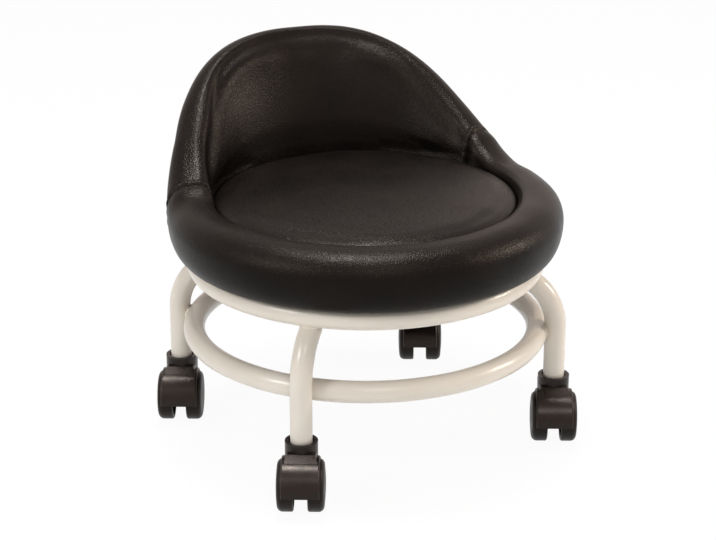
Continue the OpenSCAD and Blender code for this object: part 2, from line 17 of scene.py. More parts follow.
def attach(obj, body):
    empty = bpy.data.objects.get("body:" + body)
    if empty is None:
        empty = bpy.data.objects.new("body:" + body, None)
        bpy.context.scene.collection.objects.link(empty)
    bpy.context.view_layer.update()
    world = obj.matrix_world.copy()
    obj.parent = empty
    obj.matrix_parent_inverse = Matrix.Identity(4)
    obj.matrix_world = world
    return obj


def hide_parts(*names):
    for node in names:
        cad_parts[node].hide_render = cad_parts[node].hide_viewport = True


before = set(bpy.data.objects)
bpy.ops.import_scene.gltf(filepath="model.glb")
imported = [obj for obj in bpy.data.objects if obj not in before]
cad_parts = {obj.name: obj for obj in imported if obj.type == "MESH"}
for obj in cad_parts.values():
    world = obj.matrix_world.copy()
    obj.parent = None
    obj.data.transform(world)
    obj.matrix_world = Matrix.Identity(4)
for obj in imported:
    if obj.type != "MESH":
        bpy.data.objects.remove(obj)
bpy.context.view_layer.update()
MM = 0.001

# %% [markdown]
# ## Camera and light
#
# The photograph is a studio picture on white. The stool could be framed by eye, but a camera was
# fitted to its rings and legs instead, so that every edge falls where the photograph has it. It is a
# long lens, 106 mm, which looks down at the seat by 21 degrees. The light is soft, from large panels,
# and the white ground is the floor's own colour as the camera sees it. The right panel is a warm one.

# %% Place the camera
LOOK_DOWN, LOOK_ASIDE = math.radians(20.78), math.radians(22.28)
bpy.ops.object.camera_add(location=(-0.6766, -1.6335, 0.8190),
                          rotation=(math.pi / 2 - LOOK_DOWN, 0, -LOOK_ASIDE))
camera = bpy.context.object
camera.data.lens = 106.08
camera.data.sensor_width = 36
camera.data.clip_end = 60
bpy.context.scene.camera = camera
print("camera height", round(camera.location.z, 3), "m")

# %% Hang the soft lights
STOOL_MIDDLE = Vector((0, 0, 0.2))


def soft_light(name, place, size, power, tint=(1.0, 1.0, 1.0)):
    """A square studio panel that faces the stool."""
    bpy.ops.object.light_add(type="AREA", location=place)
    lamp = bpy.context.object
    lamp.name = name
    lamp.data.size = size
    lamp.data.energy = power
    lamp.data.color = tint
    lamp.rotation_euler = (STOOL_MIDDLE - lamp.location).to_track_quat("-Z", "Y").to_euler()


soft_light("panel_left", (-2.1, -0.5, 1.5), 0.7, 21)
soft_light("panel_right", (2.1, -0.7, 1.1), 0.6, 26, tint=(1.0, 0.89, 0.78))
soft_light("panel_front", (-0.5, -2.3, 2.3), 0.8, 15)
soft_light("panel_top", (-0.05, 0.15, 2.6), 0.7, 70)

# %% [markdown]
# ## Helpers for materials
#
# A material is a small graph of nodes. One function adds any node, sets its values and links its
# inputs, so each material below reads as a short recipe. Colours are written as hex values, as a
# paint chart gives them, and are turned to the linear values that Blender computes with. Three more
# functions make what nearly every recipe holds: noise of a given size, a blend of two tones, and a
# test for the rays that the eye follows.

# %% Write the helpers
def linear(hex_colour):
    """Turn an sRGB hex colour to Blender's linear RGBA."""
    parts = [int(hex_colour[i:i + 2], 16) / 255 for i in (1, 3, 5)]
    return [c / 12.92 if c <= 0.04045 else ((c + 0.055) / 1.055) ** 2.4 for c in parts] + [1.0]


def add(tree, kind, values=None, **settings):
    """Add one node. A value that is a socket is linked, and any other value is set."""
    made = tree.nodes.new("ShaderNode" + kind)
    for key, value in settings.items():
        setattr(made, key, value)
    for key, value in (values or {}).items():
        socket = made.inputs[key]
        if isinstance(value, bpy.types.NodeSocket):
            tree.links.new(value, socket)
        else:
            socket.default_value = value
    return made


def new_material(name):
    """An empty material with its output, ready for a recipe."""
    material = bpy.data.materials.new(name)
    material.use_nodes = True
    material.node_tree.nodes.clear()
    return material, material.node_tree


def finish_material(tree, shader):
    """Link the last shader to the material's output."""
    add(tree, "OutputMaterial", {"Surface": shader.outputs[0]})


def speckle(tree, place, size, detail):
    """Noise on the object's own coordinates, with patches of about this size in metres."""
    return add(tree, "TexNoise", {"Vector": place.outputs["Object"], "Scale": 1 / size, "Detail": detail})


def blend(tree, amount, low, high, start=0.0, end=1.0):
    """A ramp from one hex colour to another, while the amount goes from start to end."""
    ramp = add(tree, "ValToRGB", {"Fac": amount})
    for element, position, hex_colour in zip(ramp.color_ramp.elements, (start, end), (low, high)):
        element.position = position
        element.color = linear(hex_colour)
    return ramp.outputs["Color"]


def eye_rays(tree):
    """The light path, and 1 for rays from the camera, off a gloss or through glass, or else 0."""
    seen = add(tree, "LightPath")
    either = add(tree, "Math", {0: seen.outputs["Is Camera Ray"], 1: seen.outputs["Is Glossy Ray"]},
                 operation="MAXIMUM")
    either = add(tree, "Math", {0: either.outputs[0], 1: seen.outputs["Is Transmission Ray"]},
                 operation="MAXIMUM")
    return seen, either.outputs[0]


print("helpers ready")

# %% [markdown]
# ## Floor and white ground
#
# A real studio sweep is white paper, lit until it is pure white. Here the paper shows as white to the
# camera and to reflections, and as pale paper to the light that falls on it, so it still takes the
# soft shadow under the casters. The room is white to the camera too. Off a gloss it looks a little
# warm, as a room with a wooden floor does, which keeps the brown cast in the dark leather.

# %% Lay the floor
paper, tree = new_material("matte_white_studio_paper")
_, to_the_eye = eye_rays(tree)
share = add(tree, "Math", {0: to_the_eye, 1: 0.95}, operation="MULTIPLY")
matte = add(tree, "BsdfDiffuse", {"Color": linear("#D8D8D8")})
white = add(tree, "Emission", {"Color": (1, 1, 1, 1), "Strength": 1.0})
both = add(tree, "MixShader", {0: share.outputs[0], 1: matte.outputs[0], 2: white.outputs[0]})
finish_material(tree, both)
bpy.ops.mesh.primitive_plane_add(size=24, location=(0, 4, 0))
floor = bpy.context.object
floor.name = "studio_floor"
floor.data.materials.append(paper)
print("floor at z", floor.location.z)

# %% Light the room evenly
world = bpy.data.worlds.new("studio_room")
bpy.context.scene.world = world
world.use_nodes = True
tree = world.node_tree
tree.nodes.clear()
seen, to_the_eye = eye_rays(tree)
strength = add(tree, "MapRange", {"Value": to_the_eye, "To Min": 0.27, "To Max": 1.0})
room = add(tree, "Background", {"Color": (1, 1, 1, 1), "Strength": strength.outputs[0]})
mirrored = add(tree, "Background", {"Color": (1, 0.87, 0.81, 1), "Strength": strength.outputs[0]})
both = add(tree, "MixShader", {0: seen.outputs["Is Glossy Ray"], 1: room.outputs[0], 2: mirrored.outputs[0]})
add(tree, "OutputWorld", {"Surface": both.outputs[0]})
bpy.context.scene.view_settings.view_transform = "Standard"
print("room light set")

# %% [markdown]
# ## Artificial leather
#
# The cover is artificial leather: woven cloth with a soft coat of brown-black PVC, embossed with a
# pebble grain by a hot roller. To the eye that gives small domed cells with creases between them, a
# satin sheen that is broader on the creases, and a slightly warmer, more polished tone where the foam
# stretches it; here that tone and its polish vary in broad patches. The creases are darkened in the
# colour too: that is painted shade, for the shade that falls into them. The cells are about 2 mm
# across, a little coarser than real, so that they show at the size of the picture. The pattern reads
# object coordinates: its scale is one over the cell.

# %% Mix the leather
def leather_recipe(name, tone_low, tone_high, cell=2.0 * MM):
    """Embossed artificial leather, for pads."""
    material, tree = new_material(name)
    place = add(tree, "TexCoord")
    wobble = speckle(tree, place, 5 * MM, 2.0)
    shift = add(tree, "VectorMath", {0: wobble.outputs["Color"], "Scale": 0.9 * MM}, operation="SCALE")
    warped = add(tree, "VectorMath", {0: place.outputs["Object"], 1: shift.outputs[0]}, operation="ADD")
    cells = add(tree, "TexVoronoi", {"Vector": warped.outputs[0], "Scale": 1 / cell, "Randomness": 0.9},
                feature="DISTANCE_TO_EDGE")
    dome = add(tree, "MapRange", {"Value": cells.outputs["Distance"], "From Max": 0.32},
               interpolation_type="SMOOTHSTEP")
    fine = speckle(tree, place, 0.7 * MM, 3.0)
    broad = speckle(tree, place, 45 * MM, 2.0)
    relief = add(tree, "Mix", {"Factor": 0.25, "A": dome.outputs[0], "B": fine.outputs["Fac"]},
                 data_type="FLOAT")
    bump = add(tree, "Bump", {"Height": relief.outputs[0], "Strength": 0.68, "Distance": 0.2 * MM})
    tone = blend(tree, broad.outputs["Fac"], tone_low, tone_high, 0.35, 0.7)
    # painted shade: the colour is darkened in the grain's creases, where shade falls
    painted_crease_shade = add(tree, "MapRange", {"Value": dome.outputs[0], "To Min": 0.62, "To Max": 1.0})
    shade = add(tree, "Mix", {"Factor": 1.0, "A": tone, "B": painted_crease_shade.outputs[0]},
                data_type="RGBA", blend_type="MULTIPLY")
    rough = add(tree, "MapRange", {"Value": broad.outputs["Fac"], "From Min": 0.3, "From Max": 0.7,
                                   "To Min": 0.30, "To Max": 0.37})
    coat = add(tree, "BsdfPrincipled", {"Base Color": shade.outputs["Result"], "Roughness": rough.outputs[0],
                                        "Normal": bump.outputs[0], "Specular IOR Level": 0.14, "IOR": 1.46,
                                        "Specular Tint": linear("#FFF1E4")})
    finish_material(tree, coat)
    return material


leather = leather_recipe("embossed_brown_black_pvc_leather", "#0B0908", "#120E0C")
print("leather grain 2 mm")

# %% [markdown]
# ## Powder coat
#
# The tubes are welded first and then powder coated: dry cream powder is sprayed on, and melts in an
# oven to a thick glossy film. The film flows almost flat and leaves a faint orange peel, with waves a
# few millimetres wide. A clear coat over a slightly rougher base gives its soft double highlight.

# %% Mix the powder coat
powder_coat, tree = new_material("cream_powder_coat_on_steel")
place = add(tree, "TexCoord")
peel = speckle(tree, place, 3.2 * MM, 1.5)
drift = speckle(tree, place, 60 * MM, 2.0)
bump = add(tree, "Bump", {"Height": peel.outputs["Fac"], "Strength": 0.25, "Distance": 0.12 * MM})
tone = blend(tree, drift.outputs["Fac"], "#DCD3C6", "#E4DCD0", 0.3, 0.75)
rough = add(tree, "MapRange", {"Value": drift.outputs["Fac"], "To Min": 0.32, "To Max": 0.42})
film = add(tree, "BsdfPrincipled", {"Base Color": tone, "Roughness": rough.outputs[0],
                                    "Normal": bump.outputs[0], "Coat Weight": 0.35, "Coat Roughness": 0.12})
finish_material(tree, film)
print("powder coat peel 3.2 mm")

# %% [markdown]
# ## Moulded nylon
#
# Hood, collar and wheels are injection moulded from black nylon with a brown cast. The steel mould is
# finely blasted, so the plastic comes out semi-gloss with a faint texture of about half a millimetre.
# The wheels are a shade darker and duller than the hood: that is painted shade, for the dark
# surroundings low down by the floor, which their sides face.

# %% Mix the two nylons
def nylon_recipe(name, tone_low, tone_high, rough_low, rough_high, gloss):
    """Blasted injection-moulded nylon."""
    material, tree = new_material(name)
    place = add(tree, "TexCoord")
    grit = speckle(tree, place, 0.6 * MM, 2.0)
    patch = speckle(tree, place, 9 * MM, 3.0)
    bump = add(tree, "Bump", {"Height": grit.outputs["Fac"], "Strength": 0.2, "Distance": 0.05 * MM})
    tone = blend(tree, patch.outputs["Fac"], tone_low, tone_high, 0.3, 0.75)
    rough = add(tree, "MapRange", {"Value": patch.outputs["Fac"], "From Min": 0.3, "From Max": 0.7,
                                   "To Min": rough_low, "To Max": rough_high})
    body = add(tree, "BsdfPrincipled", {"Base Color": tone, "Roughness": rough.outputs[0],
                                        "Normal": bump.outputs[0], "IOR": 1.53,
                                        "Specular IOR Level": gloss, "Specular Tint": linear("#FFEFE4")})
    finish_material(tree, body)
    return material


hood_nylon = nylon_recipe("blasted_moulded_nylon_hood", "#120E0D", "#1A1514", 0.26, 0.36, 0.28)
# painted shade: the wheels' darker tone and lower gloss stand in for the dark surroundings by the floor
wheel_nylon_painted_shade = nylon_recipe("moulded_nylon_wheel_painted_shade", "#0D0B0A", "#181412", 0.36, 0.50, 0.17)
print("nylon ready")

# %% [markdown]
# ## Zinc plate, plywood and the dust cover
#
# Screws, washers and stems are steel with a bright zinc plate, whose crystals give patches of slightly
# different sheen. The board and the former are raw plywood with grain along X and glue lines every
# 1.9 mm through the edge: a wave texture of scale 1 repeats every pi / 10, which gives its scale here.
# The dust cover is non-woven cloth, pressed with small dots 2.5 mm apart.

# %% Mix the zinc plate
zinc, tree = new_material("bright_zinc_plated_steel")
place = add(tree, "TexCoord")
spangle = add(tree, "TexVoronoi", {"Vector": place.outputs["Object"], "Scale": 1 / (1.6 * MM)})
brushed = speckle(tree, place, 0.8 * MM, 3.0)
sheen = add(tree, "Mix", {"Factor": 0.5, "A": spangle.outputs["Distance"], "B": brushed.outputs["Fac"]},
            data_type="FLOAT")
rough = add(tree, "MapRange", {"Value": sheen.outputs[0], "To Min": 0.22, "To Max": 0.42})
tone = blend(tree, brushed.outputs["Fac"], "#A9ADB2", "#C6C9CC")
plate = add(tree, "BsdfPrincipled", {"Base Color": tone, "Metallic": 1.0, "Roughness": rough.outputs[0]})
finish_material(tree, plate)
print("zinc ready")

# %% Mix the plywood
plywood, tree = new_material("raw_birch_plywood")
place = add(tree, "TexCoord")
long_way = add(tree, "Mapping", {"Vector": place.outputs["Object"], "Scale": (40, 400, 400)})
grain = add(tree, "TexNoise", {"Vector": long_way.outputs[0], "Scale": 1.0, "Detail": 4.0})
layers = add(tree, "TexWave", {"Vector": place.outputs["Object"], "Scale": math.pi / 10 / (1.8859 * MM),
                               "Distortion": 0.4}, bands_direction="Z")
tone = blend(tree, grain.outputs["Fac"], "#B08D64", "#CDB08A", 0.3, 0.7)
glue = add(tree, "Mix", {"Factor": layers.outputs["Fac"], "A": linear("#8A6844"), "B": linear("#FFFFFF")},
           data_type="RGBA")
shade = add(tree, "Mix", {"Factor": 0.5, "A": tone, "B": glue.outputs["Result"]},
            data_type="RGBA", blend_type="MULTIPLY")
bump = add(tree, "Bump", {"Height": grain.outputs["Fac"], "Strength": 0.3, "Distance": 0.2 * MM})
wood = add(tree, "BsdfPrincipled", {"Base Color": shade.outputs["Result"], "Roughness": 0.7,
                                    "Normal": bump.outputs[0]})
finish_material(tree, wood)
print("plywood ready")

# %% Mix the non-woven cloth
nonwoven, tree = new_material("black_spunbond_dust_cloth")
place = add(tree, "TexCoord")
flat = add(tree, "Mapping", {"Vector": place.outputs["Object"], "Scale": (1, 1, 0)})
dots = add(tree, "TexVoronoi", {"Vector": flat.outputs[0], "Scale": 1 / (2.5 * MM), "Randomness": 0.0})
pressed = add(tree, "MapRange", {"Value": dots.outputs["Distance"], "From Min": 0.2, "From Max": 0.3})
fibre = speckle(tree, place, 0.5 * MM, 4.0)
height = add(tree, "Mix", {"Factor": 0.4, "A": pressed.outputs[0], "B": fibre.outputs["Fac"]},
             data_type="FLOAT")
bump = add(tree, "Bump", {"Height": height.outputs[0], "Strength": 0.7, "Distance": 0.25 * MM})
tone = blend(tree, height.outputs[0], "#0E0E0F", "#232325")
cloth = add(tree, "BsdfPrincipled", {"Base Color": tone, "Roughness": 0.92,
                                     "Normal": bump.outputs[0], "Specular IOR Level": 0.2})
finish_material(tree, cloth)
print("dust cloth ready")

# %% Mix the sewing thread
thread, tree = new_material("waxed_black_polyester_thread")
place = add(tree, "TexCoord")
twist = add(tree, "TexWave", {"Vector": place.outputs["Object"], "Scale": 1 / (1.2 * MM), "Distortion": 1.0},
            bands_direction="DIAGONAL")
bump = add(tree, "Bump", {"Height": twist.outputs["Fac"], "Strength": 0.5, "Distance": 0.1 * MM})
tone = blend(tree, twist.outputs["Fac"], "#171412", "#2B2724")
ply = add(tree, "BsdfPrincipled", {"Base Color": tone, "Roughness": 0.5, "Normal": bump.outputs[0]})
finish_material(tree, ply)
print("thread ready")

# %% [markdown]
# ## The hard parts
#
# The rings, legs, lugs, hoods, wheels and fasteners already have their exact shape. They keep it, and
# each takes the finish of its real material. The material is picked by the start of the node's name.

# %% Dress the hard parts
FINISHES = {"upper_ring": powder_coat, "lower_ring": powder_coat, "ring_welds": powder_coat,
            "seat_lugs": powder_coat, "leg_": powder_coat, "stem_socket_": hood_nylon,
            "base_board": plywood, "backrest_former": plywood, "dust_cover": nonwoven,
            "board_nuts": zinc, "seat_screws": zinc, "seat_washers": zinc, "former_screws": zinc,
            "caster_housing_": hood_nylon, "caster_stem_": zinc, "grip_ring_": zinc, "axle_": zinc,
            "wheel_": wheel_nylon_painted_shade, "seat_cushion": leather, "front_bolster": leather, "backrest_pad": leather}


def dress(obj, material):
    """Give a piece one material."""
    obj.data.materials.clear()
    obj.data.materials.append(material)


for name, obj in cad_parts.items():
    start = max((s for s in FINISHES if name.startswith(s)), key=len)
    dress(obj, FINISHES[start])
print("dressed", len(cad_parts), "hard parts")

# %% [markdown]
# ## The seat wall
#
# One upholstered wall runs round the cushion: a fat roll in front that rises to a slim backrest. It
# could be sculpted, but then it would drift from the frame. Here its section is a curve in radius and
# height that depends on the angle from the back, the same one the solid has, with many more points.
# The wall is sewn from two covers, which meet at a seam on each side.

# %% Give the wall's sizes
# Heights and radii are in mm from the floor and from the seat's axis, and angles in degrees from the back.
FRAME_TOP = 171.0
BOARD_Z, BOARD_TOP = FRAME_TOP + 1, FRAME_TOP + 13
BOARD_R, TUCK_R, WRAP_R, NOTCH_R = 157.0, 152.0, 147.0, 157.5
WALL_R = 134.5
ROLL_IN, ROLL_OUT, ROLL_DROP = 16.5, 24.2, 8.0
CREST_R = WALL_R + ROLL_IN
BULGE = (CREST_R + ROLL_OUT, FRAME_TOP + 30.4)
FOOT_R = 160.0
ROLL_H, BACK_H = 53.1, 160.3
ROLL_Z, BACK_RISE = FRAME_TOP + ROLL_H, BACK_H - ROLL_H
HALF_T = 14.6
CUSHION_EDGE_Z, CUSHION_TOP_EDGE = 215.0, 222.0
LEAN = 0.235
LEFT_SEAM, RIGHT_SEAM = 72.0, -65.0
PANEL_SWELL = 5.0
RISE_END, RISE_POWER = 83.0, 1.38
THIN_RATE, CREST_TURN, BACK_END_TURN, EDGE_POWER = 2.4, 56.0, 97.0, 2.6


def mix(a, b, t):
    """From a to b, as t goes from 0 to 1."""
    return a + (b - a) * t


def clamp(t):
    """Keep a share between 0 and 1."""
    return max(0.0, min(1.0, t))


def ease(t):
    """A share that starts and stops gently."""
    t = clamp(t)
    return t * t * (3 - 2 * t)


def hump(x, middle, width):
    """A bell curve of height 1."""
    return math.exp(-((x - middle) / width) ** 2)


def rise(turn):
    """How much of the backrest's height the crest has at this angle from the back."""
    return (1 + math.cos(math.pi * min(abs(turn) / RISE_END, 1) ** RISE_POWER)) / 2


def slim(turn):
    """How far the section has changed from the fat roll to the slim back."""
    return min(1.0, rise(turn) * THIN_RATE)


print("crest is", round(ROLL_Z + BACK_RISE, 1), "mm high at the back")

# %% Trace the inner half of the section
SIDE_STEPS, SLOPE_STEPS, ARC_STEPS = 8, 22, 16
SOFT_FIRST, SOFT_LAST, SOFT_PASSES = 16, 42, 30


def soften(line):
    """Round the corner between wall and crest: each point there moves towards its two neighbours."""
    for _ in range(SOFT_PASSES):
        soft = [((a[0] + 2 * b[0] + c[0]) / 4, (a[1] + 2 * b[1] + c[1]) / 4)
                for a, b, c in zip(line, line[1:], line[2:])]
        line[SOFT_FIRST:SOFT_LAST] = soft[SOFT_FIRST - 1:SOFT_LAST - 1]
    return line


def inner_curve(turn):
    """From the board up the inner wall to the crest's top, as radius and height in mm."""
    up, s = rise(turn), slim(turn)
    z, r = ROLL_Z + BACK_RISE * up, CREST_R + LEAN * BACK_RISE * up
    w, d, power = mix(ROLL_IN, HALF_T, s), mix(ROLL_DROP, HALF_T, s), mix(EDGE_POWER, 2, s)
    top = (r - w, z - d)
    knee = (WALL_R, min(CUSHION_EDGE_Z, top[1] - 4))
    wall = [(WALL_R, mix(BOARD_TOP, knee[1], i / SIDE_STEPS)) for i in range(SIDE_STEPS)]
    for i in range(SLOPE_STEPS):
        t = i / SLOPE_STEPS
        high = mix(knee[1], top[1], t)
        above_cushion = clamp((high - CUSHION_TOP_EDGE) / 10)
        swell = PANEL_SWELL * math.sin(math.pi * t) ** 2 * s * above_cushion
        wall.append((mix(knee[0], top[0], t) - swell, high))
    for i in range(ARC_STEPS + 1):
        a = math.radians(90 - 90 * i / ARC_STEPS)
        wall.append((r - w * math.sin(a) ** (2 / power), z - d * (1 - max(math.cos(a), 0) ** (2 / power))))
    return soften(wall)


print("inner points:", len(inner_curve(0)))

# %% Trace the outer half of the section
OVER_STEPS, BACK_STEPS, FOOT_STEPS = 14, 24, 16


def outer_curve(turn):
    """From the crest's top over the outside to the edge under the board."""
    up, s = rise(turn), slim(turn)
    z, r = ROLL_Z + BACK_RISE * up, CREST_R + LEAN * BACK_RISE * up
    w, d = mix(ROLL_OUT, HALF_T, s), mix(ROLL_Z - BULGE[1], HALF_T, s)
    over, end = mix(CREST_TURN, BACK_END_TURN, s), mix(90, BACK_END_TURN, s)

    def on_arc(a):
        """A point of the crest's arc, at an angle in degrees from its top."""
        a = math.radians(a)
        return r + w * math.sin(a), z - d * (1 - math.cos(a))

    side = [on_arc(over * i / OVER_STEPS) for i in range(1, OVER_STEPS + 1)]
    last = on_arc(end)
    arc_len = math.radians(end - over) * (w + d) / 2
    rest = math.dist(last, BULGE)
    for i in range(1, BACK_STEPS + 1):
        run = (arc_len + rest) * i / BACK_STEPS
        if run < arc_len:
            side.append(on_arc(mix(over, end, run / arc_len)))
        else:
            t = (run - arc_len) / max(rest, 0.01)
            side.append((mix(last[0], BULGE[0], t), mix(last[1], BULGE[1], t)))
    for i in range(1, FOOT_STEPS + 1):
        a = math.radians(90 * i / FOOT_STEPS)
        side.append((mix(BULGE[0], FOOT_R, 1 - math.cos(a)), mix(BULGE[1], FRAME_TOP, math.sin(a))))
    return side


HIDDEN = [(BOARD_R, FRAME_TOP), (TUCK_R, FRAME_TOP), (WRAP_R, FRAME_TOP), (WRAP_R, BOARD_Z),
          (NOTCH_R, BOARD_Z), (NOTCH_R, BOARD_TOP)]
print("section points:", len(inner_curve(0)) + len(outer_curve(0)) + len(HIDDEN))

# %% [markdown]
# ## Seams, the soft valley and the pull of the leather
#
# What makes leather look sewn is how it gives way round a seam. At the seam itself both covers turn
# in and leave a narrow groove. On the backrest's side the folded edge stands up a little, with a row
# of stitches behind it, and on the roll's side the foam swells out. A soft valley runs between the rim
# and the inner panel, and the rim is fuller on the left than on the right, as foam packed by hand can
# be. All of these move a point along the surface's normal, by an amount in mm.

# %% Shape the leather near the seams
GROOVE_WIDE, GROOVE_DEEP = 2.1, 1.4
FOLD_AT, STITCH_AT, FOAM_AT = 2.3, 4.1, 8.0
PUCKER_PITCH = 9.0


def seam_relief(d, along, pad_side, inside):
    """How far the leather stands out at d mm from the seam. The foam swells on the inside only."""
    out = 0.0
    if d < GROOVE_WIDE:
        out -= GROOVE_DEEP * (1 - math.sqrt(max(0.0, 1 - (1 - d / GROOVE_WIDE) ** 2)))
    if pad_side:
        out += 0.6 * hump(d, FOLD_AT, 1.1) - 0.75 * hump(d, STITCH_AT, 0.65)
    else:
        out += 1.3 * inside * hump(d, FOAM_AT, 6.5)
    out += 0.22 * math.sin(along / PUCKER_PITCH * 2 * math.pi) * hump(d, 0.0, 7.0)
    return out


def valley_relief(turn, s_in):
    """The soft valley and the full rim above it, at s_in mm from the crest's top."""
    side, risen = ease((abs(turn) - 30) / 22), min(1.0, 2.2 * slim(turn))
    at = mix(13.0, 30.0, side)
    valley = 0.7 * hump(s_in, at + 15, 8.0) - 2.0 * hump(s_in, at, 6.5)
    fuller = mix(0.3, 2.5, ease((turn + 30) / 60)) * side
    return risen * (mix(1.0, 0.15, side) * valley + fuller * hump(s_in, 12, 9.0))


def pull_relief(x, y, z):
    """Slow waves where the leather is stretched over the foam, 38 mm long, with faint ones of 15 mm."""
    slow = noise.noise(Vector((x, y, z)) / 38.0) * 0.45
    return slow + noise.noise(Vector((x + 400, y, z)) / 15.0) * 0.06


print("valley depth at the back:", round(valley_relief(0, 13.0), 2), "mm")

# %% Place one row of the cover
# A ring that lies well away from both seams counts as this many mm from them.
FAR = 60.0


def freedom(k, count):
    """How freely point k may move: little at either end of the visible ones, and not at all when hidden."""
    return min(1.0, (k + 0.5) / 4) * clamp((count - k) / 8) if k < count else 0.0


def section_row(turn, d, pad_side):
    """The section at one angle, d mm from a seam: its points in metres, and those a stitch row follows."""
    inner, outer = inner_curve(turn), outer_curve(turn)
    count = len(inner) + len(outer)
    section = np.array(inner + outer + HIDDEN)
    step = np.linalg.norm(np.diff(section, axis=0, append=section[:1]), axis=1)
    along = np.concatenate([[0], np.cumsum(step)[:-1]])
    crest_at = along[len(inner) - 1]
    tangent = np.roll(section, -1, axis=0) - np.roll(section, 1, axis=0)
    tangent /= np.linalg.norm(tangent, axis=1)[:, None] + 1e-9
    outward = np.stack([-tangent[:, 1], tangent[:, 0]], axis=1)
    a = math.radians(90 + turn)
    row = []
    for k, (r, z) in enumerate(section):
        past_crest = max(0, k - len(inner) - 6)
        move = seam_relief(d, along[k], pad_side, max(0.0, 1 - past_crest / 8))
        if k < len(inner):
            move += valley_relief(turn, crest_at - along[k])
        move += pull_relief(r * math.cos(a), r * math.sin(a), z) * min(1.0, d / 8)
        r, z = np.array([r, z]) + outward[k] * move * freedom(k, count)
        row.append((r * math.cos(a) * MM, r * math.sin(a) * MM, z * MM))
    return row, row[4:count - 6]


print("points in a row:", len(section_row(0.0, FAR, True)[0]))

# %% Loft a cover
def mesh_object(mesh, name):
    """Turn a finished bmesh into an object of the scene."""
    bmesh.ops.recalc_face_normals(mesh, faces=mesh.faces)
    data = bpy.data.meshes.new(name)
    mesh.to_mesh(data)
    mesh.free()
    obj = bpy.data.objects.new(name, data)
    bpy.context.scene.collection.objects.link(obj)
    return obj


def loft_cover(name, rings, pad_side):
    """Sweep the section through rings of (angle, distance to the seam) and close the two ends."""
    rows, stitch_rows = [], []
    for turn, d in rings:
        row, stitch_row = section_row(turn if turn <= 180 else turn - 360, d, pad_side)
        rows.append(row)
        if d == STITCH_AT:
            stitch_rows.append(stitch_row)
    mesh = bmesh.new()
    grid = [[mesh.verts.new(p) for p in row] for row in rows]
    for near, far in zip(grid, grid[1:]):
        for j in range(len(near)):
            k = (j + 1) % len(near)
            mesh.faces.new((near[j], far[j], far[k], near[k])).smooth = True
    ends = [mesh.faces.new(grid[0]), mesh.faces.new(grid[-1][::-1])]
    bmesh.ops.triangulate(mesh, faces=ends, ngon_method="EAR_CLIP")
    return mesh_object(mesh, name), stitch_rows


SEWN_R = 165.0
SEAM_HALF_GAP = 0.2
NEAR = [0, 0.35, 0.8, 1.3, 1.8, 2.3, 2.8, 3.3, 3.7, STITCH_AT, 4.5, 4.9, 5.5, 6.5, 8, 10, 12.5, 16, 20, 24]


def turn_of(d):
    """Millimetres along the wall as degrees round the seat."""
    return math.degrees(d / SEWN_R)


def rings_between(first, last, steps):
    """Rings from one seam to the next, close together near each seam and evenly spaced between."""
    near_first, near_last = first + turn_of(NEAR[-1]), last - turn_of(NEAR[-1])
    middle = [(mix(near_first, near_last, i / steps), FAR) for i in range(1, steps)]
    return [(first + turn_of(d), d) for d in NEAR] + middle + [(last - turn_of(d), d) for d in NEAR[::-1]]


print("rings near a seam:", len(NEAR))

# %% Make the backrest's cover
rings = rings_between(RIGHT_SEAM + turn_of(SEAM_HALF_GAP), LEFT_SEAM - turn_of(SEAM_HALF_GAP), 66)
backrest, back_stitches = loft_cover("backrest_leather_cover", rings, True)
dress(backrest, leather)
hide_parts("backrest_pad")
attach(backrest, "frame_and_seat")
print("backrest faces:", len(backrest.data.polygons))

# %% Make the front roll's cover
rings = rings_between(LEFT_SEAM + turn_of(SEAM_HALF_GAP), 360 + RIGHT_SEAM - turn_of(SEAM_HALF_GAP), 110)
roll, _ = loft_cover("front_roll_leather_cover", rings, False)
dress(roll, leather)
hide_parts("front_bolster")
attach(roll, "frame_and_seat")
print("roll faces:", len(roll.data.polygons))

# %% [markdown]
# ## The seat cushion
#
# The cushion is a round block of foam under a tight leather top. It could be a plain disc, but real
# foam gives it a low crown, a soft rounded edge and sides that draw in at the foot and press against
# the wall halfway up. Its outline is spun round the seat's axis, and slow waves and faint puckers at
# the edge break the perfect circle.

# %% Draw the cushion's outline
CUSHION_R = WALL_R - 0.5
INSETS = ((2, BOARD_TOP), (1.2, 187), (0.2, 190), (-0.6, 194),
          (-0.8, 198), (-0.8, 203), (-0.4, 208), (0, 212))
SHOULDER_Z, SHOULDER_WIDE, SHOULDER_HIGH, SHOULDER_POWER = 212.5, 14, 9.8, 0.85
CROWN, TOP_STEPS, TURNS = 3.7, 40, 192


def cushion_outline():
    """Radius and height in mm, from the foot up the side and over the top to the centre."""
    side = [(CUSHION_R - inset, z) for inset, z in INSETS]
    flat_r = CUSHION_R - SHOULDER_WIDE
    for a in range(0, 85, 7):
        side.append((flat_r + SHOULDER_WIDE * math.cos(math.radians(a)) ** SHOULDER_POWER,
                     SHOULDER_Z + SHOULDER_HIGH * math.sin(math.radians(a)) ** SHOULDER_POWER))
    for i in range(1, TOP_STEPS):
        t = 1 - i / TOP_STEPS
        side.append((flat_r * t, CUSHION_TOP_EDGE + 0.3 + CROWN * (1 - t * t)))
    return side


def cushion_wave(x, y, z):
    """The same slow waves as on the wall, weaker and from another place in the noise."""
    return pull_relief(x + 900, y, z) * 0.6


outline = cushion_outline()
print("outline points:", len(outline))

